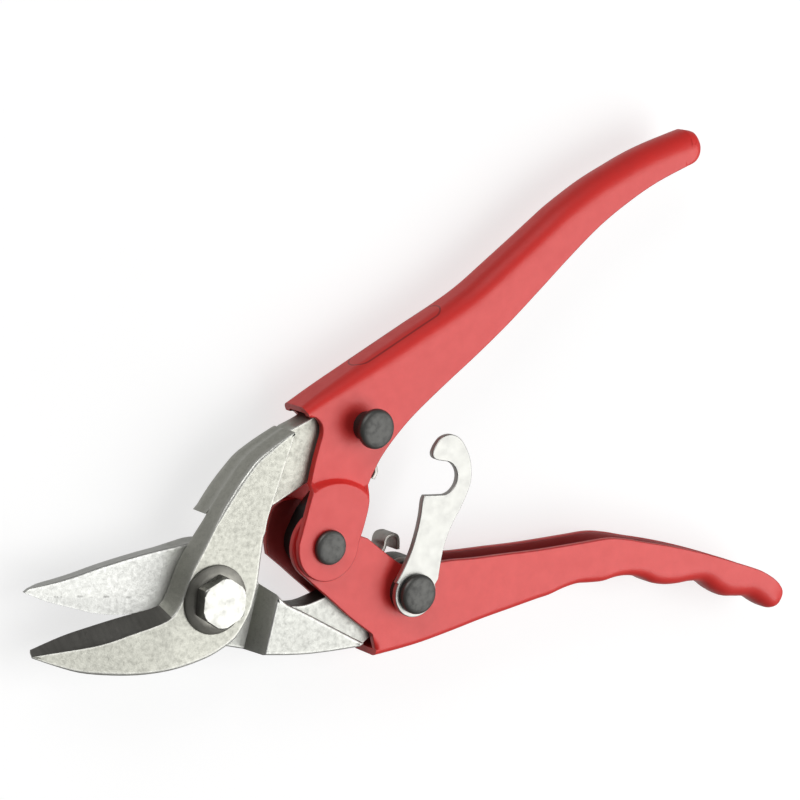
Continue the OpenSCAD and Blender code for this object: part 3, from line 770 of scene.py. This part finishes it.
JO, JI = HP + np.array([1.9, -1.9]), HP + np.array([1.7, 3.1])
JOR, JIR = 21.0, 14.8                               # outer and inner ends of the joggle


def up_lift(P):
    a = JOR - np.linalg.norm(P - JO, axis=1)
    b = np.linalg.norm(P - JI, axis=1) - JIR
    a = np.where(P[:, 1] < HP[1] + 8, 9.0, a)
    b = np.where(P[:, 1] < HP[1] + 8, 0.0, b)
    t = np.where(b <= 0, 1.0, np.where(a <= 0, 0.0, a / np.maximum(a + b, 1e-6)))
    return (LUG_OUT - HALF_W) * smoothstep(t)


jog = []
for q in np.radians(np.linspace(28, 152, 96)):
    o = JO + JOR * np.array([math.cos(q), math.sin(q)])
    d = o - JI
    i_ = JI + JIR * d / np.linalg.norm(d)
    jog += [i_ * t + o * (1 - t) for t in (-0.3, 0.0, 0.14, 0.3, 0.5, 0.7, 0.86, 1.0, 1.3)]
jog = np.array(jog)


sh = Shell()
channel(sh, up_line, up_rest, up_near, HALF_W, SHEET_T, holes=[(HP, 4.05), (CP, 3.0)], lift=up_lift, step=1.6, extra=jog, rad_far=up_rad)
round_tail(sh, (160.4, 133.0), (0.86, 0.5), 11.0, 0.45)
upper_handle = finish_piece(sh.make("upper_handle_shell", ground_and_painted_light=channel_inside_shade), RED, "upper_handle", ["upper_handle"])

low_line = clean(np.r_[cr(LH_SPINE, 4)[:-1], cr(LH_TAIL, 6)])
low_rest = clean(np.r_[cr(LH_EDGE, 4)[1:-1], arc(HP, 10.6, 16, 235, 48), cr(LH_FRONT, 4)], 0.3)
far_rest = clean(np.r_[cr(LH_EDGE, 4)[1:-1], arc(HP, 10.6, 16, 95, 20), cr(LH_NOSE, 4)[::-1], cr(LH_FRONT, 4)], 0.3)
low_rad = along(low_line, [(0, 2.3), (0.42, 2.8), (0.6, 3.8), (0.74, 5.2), (0.86, 5.9), (0.905, 4.8), (0.94, 3.7), (0.965, 2.6), (0.985, 1.4), (1, 0.5)])
sh = Shell()
channel(sh, low_line, low_rest, low_rad, HALF_W, SHEET_T, holes=[(HP, 4.0), (LR, 4.0)], step=2.2, far=far_rest)
round_tail(sh, (213.8, -7.6), (0.97, -0.25), 10.0, 0.48)
lower_handle = finish_piece(sh.make("lower_handle_shell", ground_and_painted_light=channel_inside_shade), RED, "lower_handle", ["lower_handle"])

# ------------------------------------------------------------------ blades

def near_top(P):
    x = P[:, 0]
    slope = math.tan(math.radians(4)) * np.maximum(0, -12 - x)
    slope = np.where(x > -12, 0, slope)
    crown = 0.25 * smoothstep((-9 - x) / 6)
    return BLADE_T - 0.05 - slope - crown * 0


sh = Shell()
armp = np.r_[cr(LB_BACK, 4)[:-1], cr(LB_ARM, 4)[:-1]]
top = np.r_[[[-54.2, -14.9]], armp, cr(LB_T, 4)]
bot = np.r_[[[-52, -14]], armp, cr(LB_B, 4)]
top = bot + (top - bot) * (near_top(top) / BLADE_T)[:, None]
nT = len(cr(LB_T, 4))
nArm = len(cr(LB_ARM, 4)) - 1
et = np.r_[[0.3], np.where(armp[:, 1] > 17, 0.3, 0.9), np.full(nT, 0.35)]
et[1:8] = np.linspace(0.3, 0.9, 7)
et[1 + len(armp) - nArm:1 + len(armp)] = np.interp(np.arange(nArm), [0, 4, 9], [0.15, 0.3, 0.9])
eb = np.r_[[0.05], np.full(len(armp) - nArm, 0.3), np.full(nArm, 0.02), np.full(nT, 0.05)]
plate(sh, top, bot, near_top, 0.06, holes=[((0, 0), 4.05)], et=et, eb=eb, step=1.5, mid=3)
# far half of the arm
far = np.r_[[[15.2, 20.4]], cr([[15, 22], [16.2, 26.5], [18.5, 35], [20.3, 41.5], [21.4, 45.4]], 4)[:-1],
            cr(LB_ARM, 4), [[-1.2, 22.6]]]


def far_under(P):
    d = (P - np.array([5, 26])) @ np.array([math.cos(math.radians(48)), math.sin(math.radians(48))])
    return -BLADE_T + math.tan(math.radians(6)) * np.clip(d, 0, 50)


plate(sh, far, far, 0.07, far_under, et=0.02, eb=0.6, step=2.0)


def bevel_grind_and_shade(x, y, z, n):
    """The sharpened cutting bevel of the near jaw, painted dark as shade, with grinding streaks."""
    return x < -13.7 + 0.07 * z and z > 0.02 and n.y > 0.15 and -0.05 < n.z < 0.9


tng = np.r_[[[10, 32]], cr(LB_TNG, 3)[:-1], arc(CP, 9, -140, 130, 30), cr(LB_TNG2, 3), [[16, 42]]]
plate(sh, tng, tng, 3.6, -3.6, holes=[(CP, 3.5)], et=0.4, eb=0.4, step=2.5)
near_blade = finish_piece(sh.make("near_blade", ground_and_painted_light=bevel_grind_and_shade), STEEL, "lower_blade", ["lower_blade"])


def far_bottom(P):
    x = P[:, 0]
    z = np.full(len(P), -BLADE_T + 0.02)
    z = np.where(x < -3, -BLADE_T + 0.02 + math.tan(math.radians(12)) * (-3 - x), z)
    z = np.where(x < -14.6, -BLADE_T + 2.49 + math.tan(math.radians(1)) * (-14.6 - x), z)
    return np.where(x < -49.5, np.minimum(-0.5, -BLADE_T + 3.1 + math.tan(math.radians(28)) * (-49.5 - x)), z)


sh = Shell()
armp = np.r_[cr(UB_LOW, 4), cr(UB_TOP, 4), cr(UB_BACK, 4)]
nB = len(cr(UB_B, 4))
top = np.r_[cr(UB_B, 4), armp]
low = cr(UB_T, 4)
share = (1 + far_bottom(low) / BLADE_T)[:, None]
bot = np.r_[low + (cr(UB_B, 4) - low) * share, armp]
et = np.r_[np.full(nB, 0.06), np.full(len(armp), 0.5)]
eb = np.r_[np.full(nB, 0.3), np.full(len(armp), 0.6)]
et[-6:] = np.linspace(0.5, 0.06, 6)
plate(sh, top, bot, -0.06, far_bottom, holes=[((0, 0), 4.05)], et=et, eb=eb, step=1.5, mid=2)
# near half of the arm, behind the sloping shoulder
low_r = cr([[18, -16.7], [24, -17], [32.5, -17.3], [41, -17.1], [46.5, -16.8], [51.5, -16.5]], 4)
top_r = cr([[53.2, -15.6], [46, -12.3], [38, -8.6], [30, -4.9], [24, -2.3], [20.8, 0.2]], 4)
nt_ = np.r_[[[17.75, -16.7]], low_r[1:], top_r[:-1], [[20.6, 0.4]]]
nb_ = np.r_[[[15.1, -16.3]], low_r[1:], top_r[:-1], [[18.3, 2.4]]]


def arm_top(P):
    return BLADE_T - math.tan(math.radians(5.4)) * np.maximum(0, P[:, 0] - 26) - 0.02


plate(sh, nt_, nb_, arm_top, -1.0, et=0.7, eb=0.2, step=1.8, mid=3)
tng = np.r_[[[40, -12]], cr(UB_TNG2, 3)[:-1], arc(LR, 9.4, -110, 140, 30), cr(UB_TNG, 3), [[27, -6]]]
plate(sh, tng, tng, 3.6, -3.6, holes=[(LR, 4.05)], et=0.4, eb=0.4, step=2.5)


def arm_wall_shade(x, y, z, n):
    """Wall of the arm under the handle's nose, painted dark as the shade there."""
    return x > 17 and n.y > 0.3 and abs(n.z) < 0.35


far_blade = finish_piece(sh.make("far_blade", ground_and_painted_light=arm_wall_shade), STEEL_FAR, "upper_blade", ["upper_blade"])

# ------------------------------------------------------------------ main pivot

def hex_solid(sh, c, af, z0, z1, cham0, cham1, turn=0, n=96):
    """Hexagonal head between two levels with turned chamfers of the given depth."""
    th = np.linspace(0, 2 * math.pi, n, endpoint=False)
    rho = (af / 2) / np.cos((np.mod(th - math.radians(turn) + math.pi / 6, math.pi / 3)) - math.pi / 6)
    corner = af / 2 / math.cos(math.pi / 6)
    # sharpen the corners very slightly rounded
    rho = np.minimum(rho, corner * 0.992)
    zs = []
    k = 7
    low = [z0 + cham0 * (i / k) for i in range(k)] if cham0 > 0 else [z0]
    high = [z1 - cham1 * (1 - i / k) for i in range(1, k + 1)] if cham1 > 0 else [z1]
    zs = low + [z0 + cham0, (z0 + z1) / 2, z1 - cham1] + high
    rows = []
    for z in zs:
        rc = 99.0
        if cham0 > 0 and z < z0 + cham0:
            rc = af / 2 * 0.965 + (corner - af / 2 * 0.965) * ((z - z0) / cham0)
        if cham1 > 0 and z > z1 - cham1:
            s = (z - (z1 - cham1)) / cham1
            rc = corner - (corner - 6.95) * s ** 1.3
        r = np.minimum(rho, rc)
        near = 1 - np.abs(np.mod(th - math.radians(turn), math.pi / 3) - math.pi / 6) / (math.pi / 6)
        w = np.where(near < 0.07, 0.9, 0.0)
        if z >= z1 - 1e-6 or z <= z0 + 1e-6:
            w = np.full(n, 0.9)
        rows.append(sh.add(np.c_[c[0] + r * np.cos(th), c[1] + r * np.sin(th), np.full(n, z)], w))
    for A, B in zip(rows[:-1], rows[1:]):
        sh.strip(A, B)
    # slightly dished top and plain bottom
    for row, z, sg in ((rows[-1], zs[-1], 1), (rows[0], zs[0], -1)):
        prev = row
        R0 = np.minimum(rho, 6.95 if sg > 0 else af / 2 * 0.965)
        for q, dz in ((0.95, 0.06), (0.75, 0.05), (0.5, 0.03), (0.25, 0.02), (0.02, 0.02)):
            pts = np.c_[c[0] + R0 * q * np.cos(th), c[1] + R0 * q * np.sin(th), np.full(n, z + (dz if sg > 0 else 0))]
            new = sh.add(pts, 0.0)
            if sg > 0:
                sh.strip(prev, new)
            else:
                sh.strip(new, prev)
            prev = new


b0, b1 = zmm("pivot_bolt", 0), zmm("pivot_bolt", 1)
w1 = zmm("pivot_cone_washer", 1)
sh = Shell()
hex_solid(sh, (0, 0), 13.0, w1, b1 - 0.06, 0, 0.45)
lathe(sh, (0, 0), [(0.01, b0 + 0.02), (3.6, b0 + 0.02), (3.95, b0 + 0.4), (3.95, w1 + 0.2), (0.01, w1 + 0.2)], 48)
bolt = finish_piece(sh.make("main_bolt", 30), ZINC, "upper_blade", ["pivot_bolt"])

w0 = zmm("pivot_cone_washer", 0)
sh = Shell()
prof = [(4.06, w0 + 0.62), (6.9, w0 + 0.42), (9.35, w0 + 0.05), (9.6, w0 + 0.02), (9.74, w0 + 0.12), (9.74, w0 + 0.38),
        (9.55, w0 + 0.52), (8.8, w0 + 0.78), (8.0, w0 + 1.08), (7.2, w0 + 1.33), (6.4, w0 + 1.46), (5.4, w0 + 1.49), (4.06, w0 + 1.49), (4.06, w0 + 0.62)]
wr = [0, 0, 0, .3, .8, .8, .5, 0, 0, 0, 0, 0, 0, 0]
lathe(sh, (0, 0), prof, 96, wr)
cone = finish_piece(sh.make("conical_washer", 50), CONE, "upper_blade", ["pivot_cone_washer"])

f0, f1 = zmm("pivot_washer", 0), zmm("pivot_washer", 1)
sh = Shell()
lathe(sh, (0, 0), rounded([(4.06, f1), (4.06, f0 + 0.01), (8, f0 + 0.01), (8, f1 - 0.01), (4.06, f1 - 0.01)], 0.25), 72)
flatw = finish_piece(sh.make("flat_washer"), CONE, "upper_blade", ["pivot_washer"])

n0, n1 = zmm("pivot_nut", 0), zmm("pivot_nut", 1)
sh = Shell()
hex_solid(sh, (0, 0), 13.0, n0, n1, 0.9, 0.3)
nut = finish_piece(sh.make("lock_nut", 30), ZINC, "upper_blade", ["pivot_nut"])

# ------------------------------------------------------------------ rivets

def rivet_head(sh, c, r, z0, h, side=1):
    """Formed rivet head: short rounded side and a low crown."""
    prof = [(r - 0.25, 0.0), (r, 0.25), (r, h * 0.42), (r * 0.985, h * 0.55), (r * 0.95, h * 0.68), (r * 0.89, h * 0.79),
            (r * 0.80, h * 0.875), (r * 0.68, h * 0.93), (r * 0.5, h * 0.97), (r * 0.3, h * 0.992), (r * 0.12, h), (0.01, h)]
    wr = [0, .3, .3, .7, .9, .7, .4, .1, 0, 0, 0, 0]
    lathe(sh, c, [(a, z0 + side * b) for a, b in prof], 64, wr)


def rivet(name, node, c, body, r_pin, heads):
    sh = Shell()
    zs = []
    for r, z0, h, side in heads:
        rivet_head(sh, c, r, z0, h, side)
        zs.append(z0)
    lathe(sh, c, [(r_pin - 0.02, min(zs)), (r_pin - 0.02, max(zs))], 48)
    return finish_piece(sh.make(name, 60), OXIDE, body, [node])


z1, z0 = zmm("centre_rivet", 1), zmm("centre_rivet", 0)
rivet("centre_rivet_head", "centre_rivet", HP, "lower_handle", 4.0, [(4.95, z1 - 2, 2.0, 1), (4.95, z0 + 2, 2.0, -1)])
z1, z0 = zmm("catch_rivet", 1), zmm("catch_rivet", 0)
rivet("catch_rivet_head", "catch_rivet", CP, "upper_handle", 3.0, [(5.7, z1 - 2.6, 2.6, 1), (5.2, z0 + 2, 2.0, -1)])
z1, z0 = zmm("link_rivet", 1), zmm("link_rivet", 0)
rivet("link_rivet_head", "link_rivet", LR, "lower_handle", 4.0, [(5.8, z1 - 2.6, 2.6, 1), (5.8, z0 + 2, 2.0, -1)])


def ring_piece(name, node, c, ri, ro, mat, body, r=0.2):
    a, b = zmm(node, 0), zmm(node, 1)
    m = (a + b) / 2
    prof = rounded([(ri, m), (ri, a + 0.01), (ro, a + 0.01), (ro, b - 0.01), (ri, b - 0.01), (ri, m)], min(r, (b - a) * 0.4))
    sh = Shell()
    lathe(sh, c, prof, 64)
    return finish_piece(sh.make(name, 50), mat, body, [node])


ring_piece("catch_pin_collar", "catch_collar", CP, 3.02, 4.2, OXIDE, "upper_handle")
ring_piece("latch_spacer_ring", "latch_spacer", LR, 4.02, 6.2, OXIDE, "lower_handle")
ring_piece("latch_shim_ring", "latch_washer", LR, 4.02, 6.6, NICKEL, "lower_handle", 0.1)
ring_piece("handle_bush", "centre_bush", HP, 4.02, 5.8, OXIDE, "lower_handle")
for n in ("catch_shims", "link_shims"):
    ob = frame["nodes"][n]
    ob.data.materials.clear()
    ob.data.materials.append(OXIDE)

# ------------------------------------------------------------------ latch

LA_LEFT = [[58, 3.2], [60.4, 8], [62.2, 12.6], [63.4, 17.6], [64.1, 22.5], [64.3, 27], [64.9, 28.5]]
LA_HOOK = [[68.6, 38.6], [66.9, 39.2], [66.2, 40.8], [67.3, 43.4], [69.3, 45.4], [72.6, 46],
           [76, 44.4], [79.2, 40], [80.6, 35.5], [80.5, 31], [78.2, 25], [75.2, 19], [73.2, 12], [72.5, 4]]
l0, l1 = zmm("latch", 0), zmm("latch", 1)
la = np.r_[cr(LA_LEFT, 5), [[68, 28.5]], arc((70.8, 33.4), 4.9, -82, 82, 28), cr(LA_HOOK, 5), arc(LR, 7.0, 20, -205, 44)]
la = clean(la, 0.25)
sh = Shell()
plate(sh, la, la, l1 - 0.01, l0 + 0.01, holes=[(LR, 4.05)], et=0.28, eb=0.28, step=1.6, mid=0)
latch = finish_piece(sh.make("latch_plate"), NICKEL, "latch", ["latch"])

# ------------------------------------------------------------------ return spring

SP_UP = [[51.6, 32.2], [52.4, 34.2], [51.2, 36.4], [48, 36.9], [42.5, 34.4], [36, 28.8], [30.2, 21.6]]
SP_LOW = [[38.6, 6.9], [46, 7.2], [53, 8.6], [56.6, 10.2], [57.8, 12.2], [58.1, 14.2], [59, 15.3], [61.2, 15.5], [62.2, 14.4], [62.6, 11.4]]
k = np.arange(0, 11)
a_ = np.radians(158 + k * 11.2)
r_ = 7.2 - k * 0.04
bend = np.c_[HP[0] + r_ * np.cos(a_), HP[1] + r_ * np.sin(a_)]
path = clean(np.r_[cr(SP_UP, 6)[:-1], bend, cr(SP_LOW, 6)], 0.3)
d = np.gradient(path, axis=0)
d /= np.linalg.norm(d, axis=1)[:, None]
nn = np.c_[-d[:, 1], d[:, 0]]
out = np.r_[path + nn * 0.6, (path - nn * 0.6)[::-1]]
sh = Shell()
s0, s1 = zmm("return_spring", 0), zmm("return_spring", 1)
# strip: rings of a rounded rectangle swept along the path
sec = []
for sx, sz in ((1, 1), (-1, 1), (-1, -1), (1, -1)):
    cx, cz = 0.6 * sx, s1 * sz
    q = [(cx - 0.25 * sx, cz), (cx - 0.07 * sx, cz - 0.07 * sz), (cx, cz - 0.25 * sz)]
    sec += q if sx * sz < 0 else q[::-1]
sec = [(0.6, s1 - 0.25), (0.53, s1 - 0.07), (0.35, s1), (-0.35, s1), (-0.53, s1 - 0.07), (-0.6, s1 - 0.25),
       (-0.6, 0.0), (-0.6, s0 + 0.25), (-0.53, s0 + 0.07), (-0.35, s0), (0.35, s0), (0.53, s0 + 0.07), (0.6, s0 + 0.25), (0.6, 0.0)]
rows = []
for i in range(len(path)):
    rows.append(sh.add([(*(path[i] + nn[i] * u), z) for u, z in sec], [0.5 if abs(z) > 2.9 else 0.0 for u, z in sec]))
for A, B in zip(rows[:-1], rows[1:]):
    sh.strip(A, B)
sh.f.append(tuple(rows[0]))
sh.f.append(tuple(rows[-1][::-1]))
spring = sh.make("return_spring_strip", 50)
spring.data.materials.append(SPRING)
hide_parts("return_spring")
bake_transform(spring)

# ------------------------------------------------------------------ floor, light and camera

me = bpy.data.meshes.new("floor")
N = 8
vs = [((i / N - 0.5) * 8, (k / N - 0.5) * 8, -0.0004) for k in range(N + 1) for i in range(N + 1)]
fs = [(k * (N + 1) + i, k * (N + 1) + i + 1, (k + 1) * (N + 1) + i + 1, (k + 1) * (N + 1) + i) for k in range(N) for i in range(N)]
me.from_pydata(vs, [], fs)
floor = bpy.data.objects.new("floor", me)
bpy.context.scene.collection.objects.link(floor)
m, nt, bs, oc = new_mat("pale_glowing_floor")
nt.links.new(mixc(nt, mrange(nt, noise(nt, oc, 6, 3), 0.35, 0.65, 0, 1), (0.40, 0.40, 0.40), (0.42, 0.42, 0.42)), bs.inputs["Base Color"])
# painted light: the floor glows evenly, lifting the tool's cast shadows on it
bs.inputs["Emission Color"].default_value = (1.0, 1.0, 1.0, 1.0)
bs.inputs["Emission Strength"].default_value = 0.68
bs.inputs["Roughness"].default_value = 0.9
bs.inputs["Specular IOR Level"].default_value = 0.1
floor.data.materials.append(m)
floor.visible_diffuse = False
floor.visible_glossy = False


def area_light(name, at, to, size, power, col=(1, 1, 1), sy=None):
    L = bpy.data.lights.new(name, "AREA")
    L.energy = power
    L.color = col
    L.shape = "RECTANGLE"
    L.size = size
    L.size_y = sy or size
    o = bpy.data.objects.new(name, L)
    o.location = at
    o.rotation_euler = (Vector(to) - Vector(at)).to_track_quat("-Z", "Y").to_euler()
    bpy.context.scene.collection.objects.link(o)
    return o


area_light("key", (0.90, -0.16, 1.15), (0.08, 0.04, 0.0), 1.5, 16.5)
area_light("side", (-0.70, 1.05, 0.55), (0.08, 0.06, 0.0), 0.9, 7.0)

w = bpy.data.worlds.new("studio")
w.use_nodes = True
wn = w.node_tree
bg = wn.nodes["Background"]
tcw = wn.nodes.new("ShaderNodeTexCoord")
dot = wn.nodes.new("ShaderNodeVectorMath")
dot.operation = "DOT_PRODUCT"
dot.inputs[1].default_value = (0.70, -0.12, 0.70)
wn.links.new(tcw.outputs["Generated"], dot.inputs[0])
sw = wn.nodes.new("ShaderNodeSeparateXYZ")
wn.links.new(tcw.outputs["Generated"], sw.inputs[0])
above = mrange(wn, dot.outputs["Value"], 0.5, 0.98, 0.06, 0.55)
below = mrange(wn, sw.outputs[2], -0.08, -0.85, 0.0, 0.50)       # the pale table, seen from the tool
wn.links.new(math2(wn, "ADD", above, below), bg.inputs[1])
bg.inputs[0].default_value = (1.0, 0.995, 0.985, 1.0)
bpy.context.scene.world = w

cam = bpy.data.cameras.new("camera")
cam.sensor_width = 36.0
cam.sensor_fit = "HORIZONTAL"
cam.lens = 131.4
cam.clip_start = 0.01
cam.clip_end = 20.0
co = bpy.data.objects.new("camera", cam)
right = Vector((0.8195, 0.0945, 0.565)).normalized()
back = Vector((-0.573, 0.135, 0.808))
back = (back - right * back.dot(right)).normalized()
up = back.cross(right)
M = Matrix((right, up, back)).transposed().to_4x4()
M.translation = Vector((-0.4165, 0.1667, 0.686))
co.matrix_world = M
bpy.context.scene.collection.objects.link(co)
bpy.context.scene.camera = co
bpy.context.scene.view_settings.view_transform = "Standard"
